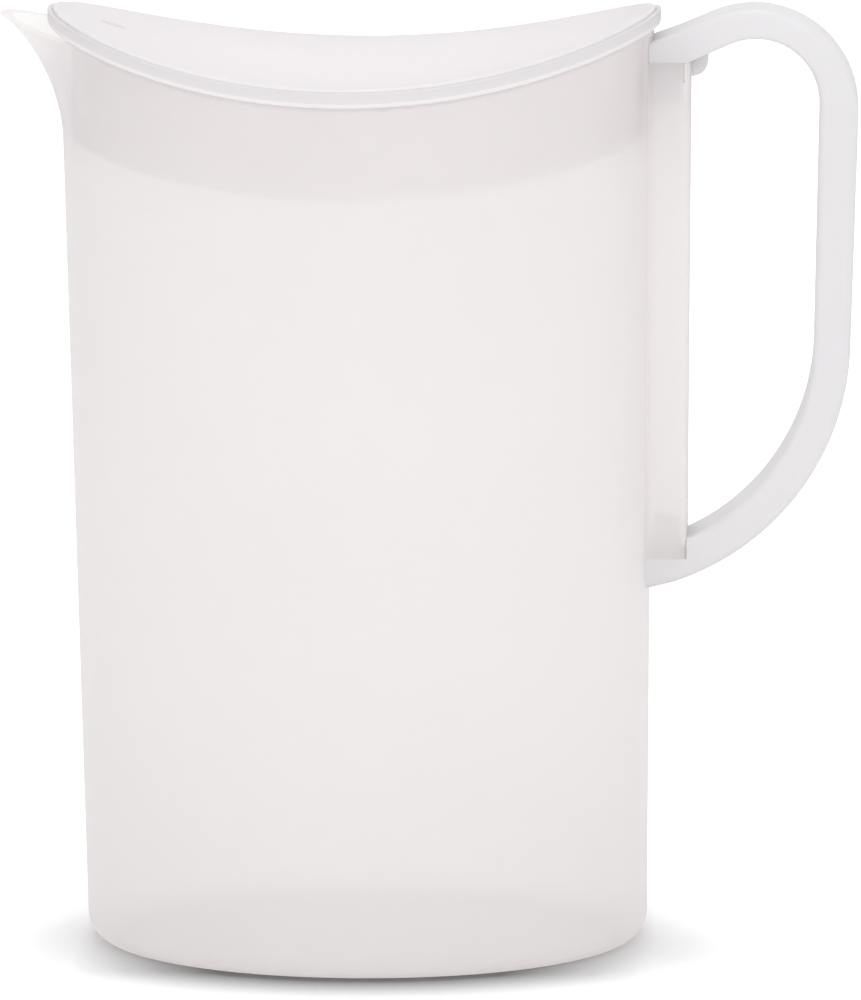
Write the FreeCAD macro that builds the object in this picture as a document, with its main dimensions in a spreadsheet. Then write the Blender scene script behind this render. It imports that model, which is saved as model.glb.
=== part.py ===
"""Milky polypropylene pitcher with a saddle-shaped lift-off lid and a clip-on handle.

Frame: +Z up, origin at the middle of the base where it rests, spout towards -X,
handle towards +X. The part is mirror-symmetric about the XZ plane.
"""
import FreeCAD, Part
import math
import os
import Sketcher

V = FreeCAD.Vector
UP = V(0, 0, 1)

# Driving dimensions, in millimetres unless the name says degrees or count
SIZES = {
    # jug shell: a slightly leaning round cone
    "base_radius": 60.2,
    "mouth_radius": 63.5,
    "mouth_height": 190.0,
    "mouth_lean": 2.2,
    "wall": 1.8,
    "floor_thickness": 2.4,
    "base_corner": 6.0,
    # saddle curve that the rim and the lid share, an arc about a line along Y
    "rim_drop": 4.75,
    "rim_curve": 177.3,
    "rim_centre": -2.8,
    "stock_above": 16.0,
    # spout
    "spout_height": 18.0,
    "spout_flare": 38.0,
    "spout_tip_radius": 35.0,
    "spout_start": 0.15,
    "spout_straight": 52.0,
    # spine that carries the handle
    "spine_width": 23.0,
    "spine_depth": 8.0,
    "spine_rise": 0.4,
    "spine_length": 106.4,
    "spine_wall": 1.6,
    "spine_corner": 1.2,
    "slot_width": 0.8,
    "slot_depth": 4.2,
    # handle: bends are placed outwards from the mouth's wall and downwards from its height
    "handle_width": 23.0,
    "handle_corner": 1.4,
    "arm_slope_degrees": 22.8,
    "top_outer_out": 19.2,
    "top_outer_down": 10.6,
    "top_outer_radius": 22.4,
    "top_inner_out": 19.7,
    "top_inner_down": 8.0,
    "top_inner_radius": 13.5,
    "low_outer_in": 14.8,
    "low_outer_radius": 54.9,
    "low_inner_in": 15.0,
    "low_inner_radius": 47.2,
    "low_bend_down": 59.0,
    "clip_gap": 0.25,
    "plug_length": 9.0,
    "tongue_length": 7.0,
    "tab_width": 14.0,
    "tab_radius": 3.4,
    # lid
    "lid_overhang": 2.4,
    "lid_draft": 0.7,
    "lid_edge": 3.4,
    "lid_gap": 0.3,
    "panel_step": 0.8,
    "panel_inset": 1.5,
    "panel_thickness": 2.0,
    "skirt_gap": 0.4,
    "skirt_wall": 1.6,
    "skirt_depth": 19.75,
    "skirt_curve": 237.0,
    "pour_slot_width": 5.0,
    "pour_slot_height": 13.0,
    "pour_slot_above": 11.0,
    "pour_slot_pitch_degrees": 12.0,
    "pour_slot_count": 5,
    "vent_inset": 14.1,
    "vent_radius": 2.7,
    "vent_depth": 1.2,
}

# Places that follow from the driving dimensions: each is a sum of the named values
PLACES = {
    "rim_low": ("mouth_height", "-rim_drop"),
    "stock_top": ("mouth_height", "stock_above"),
    "spout_root": ("mouth_height", "-spout_height"),
    "spine_high": ("mouth_height", "spine_rise"),
    "spine_low": ("spine_high", "-spine_length"),
    "top_outer_x": ("mouth_radius", "top_outer_out"),
    "top_outer_z": ("mouth_height", "-top_outer_down"),
    "top_inner_x": ("mouth_radius", "top_inner_out"),
    "top_inner_z": ("mouth_height", "-top_inner_down"),
    "low_outer_x": ("mouth_radius", "-low_outer_in"),
    "low_inner_x": ("mouth_radius", "-low_inner_in"),
    "low_bend_z": ("mouth_height", "-low_bend_down"),
    "lid_radius": ("mouth_radius", "lid_overhang"),
    "skirt_low": ("rim_low", "-skirt_depth"),
    "pour_slot_low": ("skirt_low", "pour_slot_above"),
    "vent_x": ("rim_centre", "-lid_radius", "vent_inset"),
}

doc = FreeCAD.newDocument("pitcher")
sheet = doc.addObject("Spreadsheet::Sheet", "Sizes")
for row, (name, value) in enumerate(SIZES.items(), start=1):
    sheet.set(f"A{row}", name)
    sheet.set(f"B{row}", str(value))
    sheet.setAlias(f"B{row}", name)
doc.recompute()


def size(name):
    """The value of one named size or place, read back from the sheet."""
    if name.startswith("-"):
        return -size(name[1:])
    if name in PLACES:
        return sum(size(term) for term in PLACES[name])
    return float(sheet.get(name))


def cells(expression):
    """The expression with every name in it pointing at its cells of the sheet."""
    text = ""
    word = ""
    for letter in expression + " ":
        if letter.isalnum() or letter == "_":
            word += letter
            continue
        if word in PLACES:
            word = "(" + cells(" + ".join(PLACES[word])) + ")"
        elif word in SIZES:
            word = "Sizes." + word
        text += word + letter
        word = ""
    return text.strip()


def bind(item, **properties):
    """Tie properties of an object to expressions in the named sizes."""
    for path, expression in properties.items():
        item.setExpression(path.replace("__", "."), cells(expression))


def plane(body, role):
    """One of a body's own origin planes."""
    return next(item for item in body.Origin.OriginFeatures if item.Role == role)


def new_sketch(body, name, role="XY_Plane", level=None):
    """A sketch on one of the body's origin planes, raised to a level if one is given."""
    sketch = body.newObject("Sketcher::SketchObject", name)
    sketch.AttachmentSupport = [(plane(body, role), "")]
    sketch.MapMode = "FlatFace"
    if level is not None:
        bind(sketch, AttachmentOffset__Base__z=level)
    return sketch


def measure(sketch, name, constraint, expression):
    """Add one dimension to a sketch and tie it to the named sizes."""
    index = sketch.addConstraint(constraint)
    sketch.renameConstraint(index, name)
    sketch.setExpression("Constraints." + name, cells(expression))


def circle_sketch(body, name, level, centre, radius):
    """A circle at a level: centre (on the X axis) and radius are (value, expression)."""
    sketch = new_sketch(body, name, level=level)
    sketch.addGeometry(Part.Circle(V(centre[0], 0, 0), UP, radius[0]), False)
    measure(sketch, "radius", Sketcher.Constraint("Radius", 0, radius[0]), radius[1])
    measure(sketch, "centre", Sketcher.Constraint("DistanceX", -1, 1, 0, 3, centre[0]), centre[1])
    sketch.addConstraint(Sketcher.Constraint("PointOnObject", 0, 3, -1))
    return sketch


def beak_sketch(body, name, level, big_centre, big, tip_centre, tip):
    """The outline round two circles on the X axis, joined by their outer tangents."""
    sketch = new_sketch(body, name, level=level)
    spread = math.acos((big[0] - tip[0]) / (big_centre[0] - tip_centre[0]))
    normal = V(-math.cos(spread), math.sin(spread), 0)
    flipped = V(normal.x, -normal.y, 0)
    start_big = V(big_centre[0], 0, 0)
    start_tip = V(tip_centre[0], 0, 0)
    big_circle = Part.Circle(start_big, UP, big[0])
    tip_circle = Part.Circle(start_tip, UP, tip[0])
    half = math.pi - spread
    sketch.addGeometry(Part.ArcOfCircle(big_circle, -half, half), False)
    sketch.addGeometry(Part.LineSegment(start_big + normal * big[0], start_tip + normal * tip[0]), False)
    sketch.addGeometry(Part.ArcOfCircle(tip_circle, half, 2 * math.pi - half), False)
    sketch.addGeometry(Part.LineSegment(start_tip + flipped * tip[0], start_big + flipped * big[0]), False)
    for first, second in ((0, 1), (1, 2), (2, 3), (3, 0)):
        sketch.addConstraint(Sketcher.Constraint("Tangent", first, 2, second, 1))
    measure(sketch, "big", Sketcher.Constraint("Radius", 0, big[0]), big[1])
    measure(sketch, "tip", Sketcher.Constraint("Radius", 2, tip[0]), tip[1])
    for name_, arc, centre in (("big_centre", 0, big_centre), ("tip_centre", 2, tip_centre)):
        sketch.addConstraint(Sketcher.Constraint("PointOnObject", arc, 3, -1))
        distance = Sketcher.Constraint("DistanceX", arc, 3, -1, 1, -centre[0])
        measure(sketch, name_, distance, "-(" + centre[1] + ")")
    return sketch


def loft(body, name, sections, cut=False, ruled=True):
    """A loft through sketches, added to the body or cut from it."""
    kind = "PartDesign::SubtractiveLoft" if cut else "PartDesign::AdditiveLoft"
    feature = body.newObject(kind, name)
    feature.Profile = sections[0]
    feature.Sections = sections[1:]
    feature.Ruled = ruled
    doc.recompute()
    return feature


def polygon_sketch(body, name, role, corners, level=None):
    """A closed outline of straight sides, each corner placed by its own two dimensions.

    corners holds (x value, x expression, y value, y expression).
    """
    sketch = new_sketch(body, name, role, level)
    points = [V(corner[0], corner[2], 0) for corner in corners]
    for index, start in enumerate(points):
        sketch.addGeometry(Part.LineSegment(start, points[(index + 1) % len(points)]), False)
    for index, corner in enumerate(corners):
        after = (index + 1) % len(points)
        sketch.addConstraint(Sketcher.Constraint("Coincident", index, 2, after, 1))
        place = Sketcher.Constraint("DistanceX", -1, 1, index, 1, corner[0])
        measure(sketch, f"x{index}", place, corner[1])
        place = Sketcher.Constraint("DistanceY", -1, 1, index, 1, corner[2])
        measure(sketch, f"y{index}", place, corner[3])
    return sketch


def block(body, name, x, y, z, cut=False):
    """A box added to or cut from a body; each range is (low expression, high expression)."""
    kind = "PartDesign::SubtractiveBox" if cut else "PartDesign::AdditiveBox"
    box = body.newObject(kind, name)
    box.AttachmentSupport = [(plane(body, "XY_Plane"), "")]
    box.MapMode = "FlatFace"
    bind(box, Length=f"({x[1]}) - ({x[0]})", Width=f"({y[1]}) - ({y[0]})", Height=f"({z[1]}) - ({z[0]})")
    bind(box, AttachmentOffset__Base__x=x[0], AttachmentOffset__Base__y=y[0])
    bind(box, AttachmentOffset__Base__z=z[0])
    doc.recompute()
    return box


# The jug's outer surface at height z: radius and centre of its circle
def radius_at(z, offset=0.0):
    rise = (size("mouth_radius") - size("base_radius")) / size("mouth_height")
    return size("base_radius") + rise * z + offset


def centre_at(z):
    return -size("mouth_lean") / size("mouth_height") * z


def radius_text(z, offset="0"):
    return f"base_radius + (mouth_radius - base_radius) / mouth_height * ({z}) + ({offset})"


def centre_text(z):
    return f"-mouth_lean / mouth_height * ({z})"


def flare_at(above):
    return size("spout_start") + size("spout_flare") - math.sqrt(size("spout_flare") ** 2 - above**2)


# Heights of the spout's sections above its root, as shares of the stock left above it
SPOUT_STEPS = (0.0, 0.18, 0.36, 0.54, 0.7, 0.86, 1.0)


def section(body, name, z, z_text, above, above_text, offset, offset_text):
    """One outline of the jug with its spout, offset inwards by the wall where asked."""
    flare_text = f"spout_start + spout_flare - sqrt(spout_flare ^ 2 - ({above_text}) ^ 2)"
    reach = radius_at(z) + flare_at(above)
    big = (radius_at(z, offset), radius_text(z_text, offset_text))
    tip = (size("spout_tip_radius") + offset, f"spout_tip_radius + ({offset_text})")
    tip_centre = centre_at(z) - reach + size("spout_tip_radius")
    tip_text = f"{centre_text(z_text)} - ({radius_text(z_text)}) - ({flare_text}) + spout_tip_radius"
    centre = (centre_at(z), centre_text(z_text))
    return beak_sketch(body, name, z_text, centre, big, (tip_centre, tip_text), tip)


def rounded_foot(body, name, low, low_text, corner, corner_text, offset, offset_text, cut):
    """The round slab at the bottom of a cone, its lower corner rounded off."""
    top = low + corner
    top_text = f"({low_text}) + ({corner_text})"
    middle = centre_at(top)
    side = middle + radius_at(top, offset)
    side_text = f"{centre_text(top_text)} + {radius_text(top_text, offset_text)}"
    sketch = new_sketch(body, name + "_profile", "XZ_Plane")
    bend = Part.Circle(V(side - corner, top, 0), UP, corner)
    sketch.addGeometry(Part.LineSegment(V(middle, top, 0), V(middle, low, 0)), False)
    sketch.addGeometry(Part.LineSegment(V(middle, low, 0), V(side - corner, low, 0)), False)
    sketch.addGeometry(Part.ArcOfCircle(bend, -math.pi / 2, 0), False)
    sketch.addGeometry(Part.LineSegment(V(side, top, 0), V(middle, top, 0)), False)
    for joint in ((0, 2, 1, 1), (2, 2, 3, 1), (3, 2, 0, 1)):
        sketch.addConstraint(Sketcher.Constraint("Coincident", *joint))
    sketch.addConstraint(Sketcher.Constraint("Tangent", 1, 2, 2, 1))
    for line, kind in ((0, "Vertical"), (1, "Horizontal"), (3, "Horizontal")):
        sketch.addConstraint(Sketcher.Constraint(kind, line))
    measure(sketch, "corner", Sketcher.Constraint("Radius", 2, corner), corner_text)
    place = Sketcher.Constraint("DistanceY", -1, 1, 1, 1, low)
    measure(sketch, "low", place, low_text)
    place = Sketcher.Constraint("DistanceX", 0, 1, -1, 1, -middle)
    measure(sketch, "middle", place, f"-({centre_text(top_text)})")
    place = Sketcher.Constraint("DistanceX", -1, 1, 3, 1, side)
    measure(sketch, "side", place, side_text)
    place = Sketcher.Constraint("DistanceY", -1, 1, 3, 1, top)
    measure(sketch, "top", place, top_text)
    foot = body.newObject("PartDesign::Groove" if cut else "PartDesign::Revolution", name)
    foot.Profile = sketch
    foot.ReferenceAxis = (sketch, ["Edge1"])
    foot.Angle = 360
    doc.recompute()


def jug_volume(body, name, low, low_text, corner, corner_text, offset, offset_text, cut):
    """The leaning cone and the spout above it, as a solid or as the hollow inside."""
    root = size("spout_root")
    rounded_foot(body, name + "_base", low, low_text, corner, corner_text, offset, offset_text, cut)
    rings = []
    start_text = f"({low_text}) + ({corner_text})"
    for label, z, z_text in (("foot", low + corner, start_text), ("shoulder", root, "spout_root")):
        centre = (centre_at(z), centre_text(z_text))
        radius = (radius_at(z, offset), radius_text(z_text, offset_text))
        rings.append(circle_sketch(body, f"{name}_{label}", z_text, centre, radius))
    loft(body, name + "_cone", rings, cut)
    sections = []
    for index, share in enumerate(SPOUT_STEPS):
        above = share * (size("stock_top") - root)
        above_text = f"{share} * (stock_top - spout_root)"
        z_text = f"spout_root + {above_text}"
        label = f"{name}_spout_{index}"
        sections.append(section(body, label, root + above, z_text, above, above_text, offset, offset_text))
    loft(body, name + "_spout", sections, cut, ruled=False)


def pocket(body, name, sketch, midplane=True):
    """A cut through everything along the sketch's normal, both ways."""
    feature = body.newObject("PartDesign::Pocket", name)
    feature.Profile = sketch
    feature.Type = 1
    feature.Midplane = midplane
    doc.recompute()
    return feature


# Spine faces: its outer face follows the jug's wall at a constant depth
def spine_x(z, inwards=0.0):
    return centre_at(z) + radius_at(z) + size("spine_depth") - inwards


def spine_text(z, inwards="0"):
    return f"{centre_text(z)} + {radius_text(z)} + spine_depth - ({inwards})"


def spine_section(body, name, z, inner, outer, half, half_text):
    """A rectangle across the spine at one of its ends; inner and outer are (value, text)."""
    corners = [
        (inner[0], inner[1], -half, f"-({half_text})"),
        (outer[0], outer[1], -half, f"-({half_text})"),
        (outer[0], outer[1], half, half_text),
        (inner[0], inner[1], half, half_text),
    ]
    return polygon_sketch(body, name, "XY_Plane", corners, level=z)


def make_jug():
    """Shell with floor, spout and the hollow spine that the handle clips onto."""
    body = doc.addObject("PartDesign::Body", "jug_body")
    body.Label = "jug_body"
    jug_volume(body, "outer", 0.0, "0", size("base_corner"), "base_corner", 0.0, "0", cut=False)

    # spine: from inside the wall out to its face
    ends = []
    for name in ("spine_low", "spine_high"):
        z = size(name)
        inner = (centre_at(z) + radius_at(z, -size("wall")), f"{centre_text(name)} + {radius_text(name, '-wall')}")
        outer = (spine_x(z), spine_text(name))
        half = size("spine_width") / 2
        ends.append(spine_section(body, name + "_outline", name, inner, outer, half, "spine_width / 2"))
    spine = loft(body, "spine", ends)
    face = size("spine_width") / 2
    outermost = min(spine_x(size("spine_low")), spine_x(size("spine_high")))
    edges = []
    for i, edge in enumerate(spine.Shape.Edges, 1):
        box = edge.BoundBox
        tall = box.ZLength > 0.9 * size("spine_length")
        at_side = abs(abs(box.Center.y) - face) < 0.01
        if tall and at_side and box.XMin > outermost - 0.01:
            edges.append(f"Edge{i}")
    rounds = body.newObject("PartDesign::Fillet", "spine_round")
    rounds.Base = (spine, edges)
    bind(rounds, Radius="spine_corner")
    doc.recompute()

    # room inside the jug
    corner = size("base_corner") - size("wall")
    jug_volume(body, "inner", size("floor_thickness"), "floor_thickness", corner, "base_corner - wall",
               -size("wall"), "-wall", cut=True)

    # room inside the spine, open at both ends for the handle's plug and tongue
    ends = []
    for name in ("spine_low", "spine_high"):
        z = size(name)
        inner = (centre_at(z) + radius_at(z, size("clip_gap")), f"{centre_text(name)} + {radius_text(name, 'clip_gap')}")
        outer = (spine_x(z, size("spine_wall")), spine_text(name, "spine_wall"))
        half = size("spine_width") / 2 - size("spine_wall")
        text = "spine_width / 2 - spine_wall"
        ends.append(spine_section(body, name + "_room", name, inner, outer, half, text))
    loft(body, "spine_room", ends, cut=True)

    # relief slots beside the spine's outer wall, which let it give as the handle snaps on
    high = "spine_high"
    x_slot = spine_text(high, "spine_wall + slot_width / 2")
    for side, sign in (("near", "-"), ("far", "")):
        low_y = "-spine_width / 2 - wall" if sign else "spine_width / 2 - spine_wall - wall / 2"
        high_y = "-spine_width / 2 + spine_wall + wall / 2" if sign else "spine_width / 2 + wall"
        block(body, f"slot_{side}", (x_slot, f"{x_slot} + slot_width"), (low_y, high_y),
              (f"{high} - slot_depth", f"{high} + wall"), cut=True)

    # the saddle-shaped rim: an arc, then a straight run along the spout
    body_top = new_sketch(body, "rim_line", "XZ_Plane")
    middle = V(size("rim_centre"), size("rim_low") + size("rim_curve"), 0)
    lean = math.asin(size("spout_straight") / size("rim_curve"))
    left = -math.pi / 2 - lean
    right_x = size("mouth_radius") + size("spine_depth") + size("lid_edge")
    right = -math.acos((right_x - middle.x) / size("rim_curve"))
    arc = Part.ArcOfCircle(Part.Circle(middle, UP, size("rim_curve")), left, right)
    from_x = -size("mouth_radius") * 2
    slope = V(-math.cos(lean), math.sin(lean), 0)
    run = (arc.StartPoint.x - from_x) / math.cos(lean)
    spout_end = arc.StartPoint + slope * run
    ceiling = size("stock_top") * 1.2
    body_top.addGeometry(arc, False)
    body_top.addGeometry(Part.LineSegment(arc.StartPoint, spout_end), False)
    body_top.addGeometry(Part.LineSegment(spout_end, V(from_x, ceiling, 0)), False)
    body_top.addGeometry(Part.LineSegment(V(from_x, ceiling, 0), V(right_x, ceiling, 0)), False)
    body_top.addGeometry(Part.LineSegment(V(right_x, ceiling, 0), arc.EndPoint), False)
    add = body_top.addConstraint
    add(Sketcher.Constraint("Tangent", 0, 1, 1, 1))
    add(Sketcher.Constraint("Coincident", 1, 2, 2, 1))
    add(Sketcher.Constraint("Coincident", 2, 2, 3, 1))
    add(Sketcher.Constraint("Coincident", 3, 2, 4, 1))
    add(Sketcher.Constraint("Coincident", 4, 2, 0, 2))
    add(Sketcher.Constraint("Vertical", 2))
    add(Sketcher.Constraint("Horizontal", 3))
    add(Sketcher.Constraint("Vertical", 4))
    measure(body_top, "curve", Sketcher.Constraint("Radius", 0, size("rim_curve")), "rim_curve")
    measure(body_top, "centre_x", Sketcher.Constraint("DistanceX", -1, 1, 0, 3, middle.x), "rim_centre")
    measure(body_top, "centre_z", Sketcher.Constraint("DistanceY", -1, 1, 0, 3, middle.y), "rim_low + rim_curve")
    reach = Sketcher.Constraint("DistanceX", 0, 1, 0, 3, size("spout_straight"))
    measure(body_top, "straight_from", reach, "spout_straight")
    measure(body_top, "left", Sketcher.Constraint("DistanceX", -1, 1, 2, 2, from_x), "-2 * mouth_radius")
    measure(body_top, "right", Sketcher.Constraint("DistanceX", -1, 1, 3, 2, right_x),
            "mouth_radius + spine_depth + lid_edge")
    measure(body_top, "top", Sketcher.Constraint("DistanceY", -1, 1, 3, 2, ceiling), "1.2 * stock_top")
    pocket(body, "rim_cut", body_top)
    return body


def handle_profile(body):
    """Side view of the C-shaped handle: two arms, a grip and the seats on the spine."""
    slope = math.radians(size("arm_slope_degrees"))
    lean = V(-math.sin(slope), math.cos(slope), 0)
    along = V(math.cos(slope), math.sin(slope), 0)
    root = size("mouth_radius") - size("wall") * 3
    outer_top = V(size("top_outer_x"), size("top_outer_z"), 0)
    inner_top = V(size("top_inner_x"), size("top_inner_z"), 0)
    outer_low = V(size("low_outer_x"), size("low_bend_z"), 0)
    inner_low = V(size("low_inner_x"), size("low_bend_z"), 0)
    radii = {name: size(name + "_radius") for name in ("top_outer", "top_inner", "low_outer", "low_inner")}

    def side_angle(top, low, top_radius, low_radius):
        """Direction of the normal of the line that touches both circles on their +X side."""
        gap = top - low
        return math.atan2(gap.y, gap.x) - math.acos((low_radius - top_radius) / gap.Length)

    outer_side = side_angle(outer_top, outer_low, radii["top_outer"], radii["low_outer"])
    inner_side = side_angle(inner_top, inner_low, radii["top_inner"], radii["low_inner"])
    gap = size("clip_gap")
    face_high = spine_x(size("spine_high")) + gap
    face_low = spine_x(size("spine_low")) + gap
    bottom_angle = -math.acos((root - outer_low.x) / radii["low_outer"])
    hook_angle = -math.acos((face_low - inner_low.x) / radii["low_inner"])

    outer_arc = Part.ArcOfCircle(Part.Circle(outer_top, UP, radii["top_outer"]), outer_side, math.pi / 2 + slope)
    low_arc = Part.ArcOfCircle(Part.Circle(outer_low, UP, radii["low_outer"]), bottom_angle, outer_side)
    hook_arc = Part.ArcOfCircle(Part.Circle(inner_low, UP, radii["low_inner"]), hook_angle, inner_side)
    inner_arc = Part.ArcOfCircle(Part.Circle(inner_top, UP, radii["top_inner"]), inner_side, math.pi / 2 + slope)
    arm_top = outer_top + lean * radii["top_outer"]
    arm_top_end = arm_top - along * ((arm_top.x - root) / along.x)
    arm_under = inner_top + lean * radii["top_inner"]
    arm_under_end = arm_under - along * ((arm_under.x - face_high) / along.x)
    seat_high = size("spine_high")
    seat_low = size("spine_low") - gap

    points = {
        "lower_end": V(root, low_arc.StartPoint.y, 0),
        "lower_seat": V(root, seat_low, 0),
        "lower_corner": V(face_low, seat_low, 0),
        "upper_corner": V(face_high, seat_high, 0),
        "upper_seat": V(root, seat_high, 0),
    }
    sketch = new_sketch(body, "side_view", "XZ_Plane")
    pieces = [
        Part.LineSegment(arm_top_end, arm_top),
        outer_arc,
        Part.LineSegment(outer_arc.StartPoint, low_arc.EndPoint),
        low_arc,
        Part.LineSegment(low_arc.StartPoint, points["lower_seat"]),
        Part.LineSegment(points["lower_seat"], points["lower_corner"]),
        Part.LineSegment(points["lower_corner"], hook_arc.StartPoint),
        hook_arc,
        Part.LineSegment(hook_arc.EndPoint, inner_arc.StartPoint),
        inner_arc,
        Part.LineSegment(inner_arc.EndPoint, arm_under_end),
        Part.LineSegment(arm_under_end, points["upper_corner"]),
        Part.LineSegment(points["upper_corner"], points["upper_seat"]),
        Part.LineSegment(points["upper_seat"], arm_top_end),
    ]
    for piece in pieces:
        sketch.addGeometry(piece, False)
    # which ends meet: (piece, its end, next piece, its end), smooth where the handle is smooth
    smooth = [(0, 2, 1, 2), (1, 1, 2, 1), (2, 2, 3, 2), (7, 2, 8, 1), (8, 2, 9, 1), (9, 2, 10, 1)]
    sharp = [(3, 1, 4, 1), (4, 2, 5, 1), (5, 2, 6, 1), (6, 2, 7, 1), (10, 2, 11, 1), (11, 2, 12, 1)]
    sharp += [(12, 2, 13, 1), (13, 2, 0, 1)]
    for joint in smooth:
        sketch.addConstraint(Sketcher.Constraint("Tangent", *joint))
    for joint in sharp:
        sketch.addConstraint(Sketcher.Constraint("Coincident", *joint))
    for line in (4, 6, 11, 13):
        sketch.addConstraint(Sketcher.Constraint("Vertical", line))
    for line in (5, 12):
        sketch.addConstraint(Sketcher.Constraint("Horizontal", line))
    sketch.addConstraint(Sketcher.Constraint("Parallel", 0, 10))
    circles = [(1, "top_outer", "top_outer_z"), (3, "low_outer", "low_bend_z")]
    circles += [(7, "low_inner", "low_bend_z"), (9, "top_inner", "top_inner_z")]
    for arc, name, height in circles:
        measure(sketch, name + "_radius", Sketcher.Constraint("Radius", arc, radii[name]), name + "_radius")
        distance = Sketcher.Constraint("DistanceX", -1, 1, arc, 3, size(name + "_x"))
        measure(sketch, name + "_x", distance, name + "_x")
        distance = Sketcher.Constraint("DistanceY", -1, 1, arc, 3, size(height))
        measure(sketch, name + "_height", distance, height)
    measure(sketch, "slope", Sketcher.Constraint("Angle", -1, 1, 0, 1, slope), "arm_slope_degrees * 1 deg")
    root_x = Sketcher.Constraint("DistanceX", -1, 1, 4, 2, root)
    measure(sketch, "lower_root", root_x, "mouth_radius - 3 * wall")
    root_x = Sketcher.Constraint("DistanceX", -1, 1, 12, 2, root)
    measure(sketch, "upper_root", root_x, "mouth_radius - 3 * wall")
    seat = Sketcher.Constraint("DistanceY", -1, 1, 5, 1, seat_low)
    measure(sketch, "lower_seat", seat, "spine_low - clip_gap")
    seat = Sketcher.Constraint("DistanceY", -1, 1, 12, 1, seat_high)
    measure(sketch, "upper_seat", seat, "spine_high")
    face = Sketcher.Constraint("DistanceX", -1, 1, 5, 2, face_low)
    measure(sketch, "lower_face", face, spine_text("spine_low") + " + clip_gap")
    face = Sketcher.Constraint("DistanceX", -1, 1, 11, 1, face_high)
    measure(sketch, "upper_face", face, spine_text("spine_high") + " + clip_gap")
    return sketch


def make_handle():
    """C-shaped grip that caps the spine's top and hooks under its lower end."""
    body = doc.addObject("PartDesign::Body", "handle")
    body.Label = "handle"
    bar = body.newObject("PartDesign::Pad", "bar")
    bar.Profile = handle_profile(body)
    bar.Midplane = True
    bind(bar, Length="handle_width")
    doc.recompute()

    # round the long edges of the grip and of both arms: all but the level and upright seats
    face = size("handle_width") / 2
    edges = []
    for i, edge in enumerate(bar.Shape.Edges, 1):
        box = edge.BoundBox
        at_side = box.YLength < 0.01 and abs(abs(box.Center.y) - face) < 0.01
        if at_side and min(box.XLength, box.ZLength) > 0.01:
            edges.append(f"Edge{i}")
    rounds = body.newObject("PartDesign::Fillet", "edge_round")
    rounds.Base = (bar, edges)
    bind(rounds, Radius="handle_corner")
    doc.recompute()

    # both arm ends stop just clear of the jug's round wall
    circles = []
    for label, z, text in (("low", 0.0, "0"), ("high", size("stock_top"), "stock_top")):
        centre = (centre_at(z), centre_text(text))
        radius = (radius_at(z, size("clip_gap")), radius_text(text, "clip_gap"))
        circles.append(circle_sketch(body, "wall_" + label, text, centre, radius))
    loft(body, "wall_clearance", circles, cut=True)

    # plug that drops into the spine, tongue that rises into it, tab outside its face
    half = "(spine_width / 2 - spine_wall - clip_gap)"
    back = f"{centre_text('spine_high')} + {radius_text('spine_high', '2 * clip_gap')}"
    front = spine_text("spine_high - plug_length", "spine_wall + 2 * clip_gap + slot_width / 2")
    block(body, "plug", (back, front), ("-" + half, half), ("spine_high - plug_length", "spine_high + wall"))
    tip = "spine_low + tongue_length"
    back = f"{centre_text(tip)} + {radius_text(tip, '2 * clip_gap')}"
    front = spine_text("spine_low", "spine_wall + clip_gap")
    block(body, "tongue", (back, front), ("-" + half, half),
          ("spine_low - clip_gap - wall", "spine_low + tongue_length"))

    tab = new_sketch(body, "tab_outline", "XZ_Plane")
    corner = V(spine_x(size("spine_high")) + size("clip_gap"), size("spine_high") + size("clip_gap"), 0)
    reach = size("tab_radius")
    tab.addGeometry(Part.ArcOfCircle(Part.Circle(corner, UP, reach), -math.pi / 2, 0), False)
    tab.addGeometry(Part.LineSegment(corner + V(reach, 0, 0), corner), False)
    tab.addGeometry(Part.LineSegment(corner, corner - V(0, reach, 0)), False)
    add = tab.addConstraint
    for joint in ((0, 2, 1, 1), (1, 2, 2, 1), (2, 2, 0, 1), (0, 3, 1, 2)):
        add(Sketcher.Constraint("Coincident", *joint))
    add(Sketcher.Constraint("Horizontal", 1))
    add(Sketcher.Constraint("Vertical", 2))
    measure(tab, "radius", Sketcher.Constraint("Radius", 0, reach), "tab_radius")
    place = Sketcher.Constraint("DistanceX", -1, 1, 1, 2, corner.x)
    measure(tab, "face", place, spine_text("spine_high") + " + clip_gap")
    place = Sketcher.Constraint("DistanceY", -1, 1, 1, 2, corner.y)
    measure(tab, "level", place, "spine_high + clip_gap")
    lug = body.newObject("PartDesign::Pad", "tab")
    lug.Profile = tab
    lug.Midplane = True
    bind(lug, Length="tab_width")
    doc.recompute()
    return body


def upright(name, radius, low, high, centre="rim_centre"):
    """A vertical cylinder about the lid's axis."""
    item = doc.addObject("Part::Cylinder", name)
    bind(item, Radius=radius, Height=f"({high}) - ({low})")
    bind(item, Placement__Base__x=centre, Placement__Base__z=low)
    return item


def across(name, radius, low):
    """A cylinder lying along Y whose lowest line is at a given height: one saddle surface."""
    item = doc.addObject("Part::Cylinder", name)
    item.Placement.Rotation = FreeCAD.Rotation(V(1, 0, 0), -90)
    bind(item, Radius=radius, Height="4 * lid_radius")
    bind(item, Placement__Base__x="rim_centre", Placement__Base__y="-2 * lid_radius")
    bind(item, Placement__Base__z=f"({low}) + ({radius})")
    return item


def combine(kind, name, base, tool):
    """A cut or a common of two objects."""
    item = doc.addObject("Part::" + kind, name)
    item.Base = base
    item.Tool = tool
    return item


def fuse(name, shapes):
    """A union of several objects."""
    item = doc.addObject("Part::MultiFuse", name)
    item.Shapes = shapes
    return item


def saddle_plate(name, radius, top_radius, top_low, under_radius, under_low):
    """A disc between two saddle surfaces."""
    upper = across(name + "_top", top_radius, top_low)
    lower = across(name + "_under", under_radius, under_low)
    disc = radius if not isinstance(radius, str) else upright(name + "_disc", radius, "skirt_low", "stock_top + wall")
    band = combine("Cut", name + "_band", lower, upper)
    return combine("Common", name, disc, band)


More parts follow.
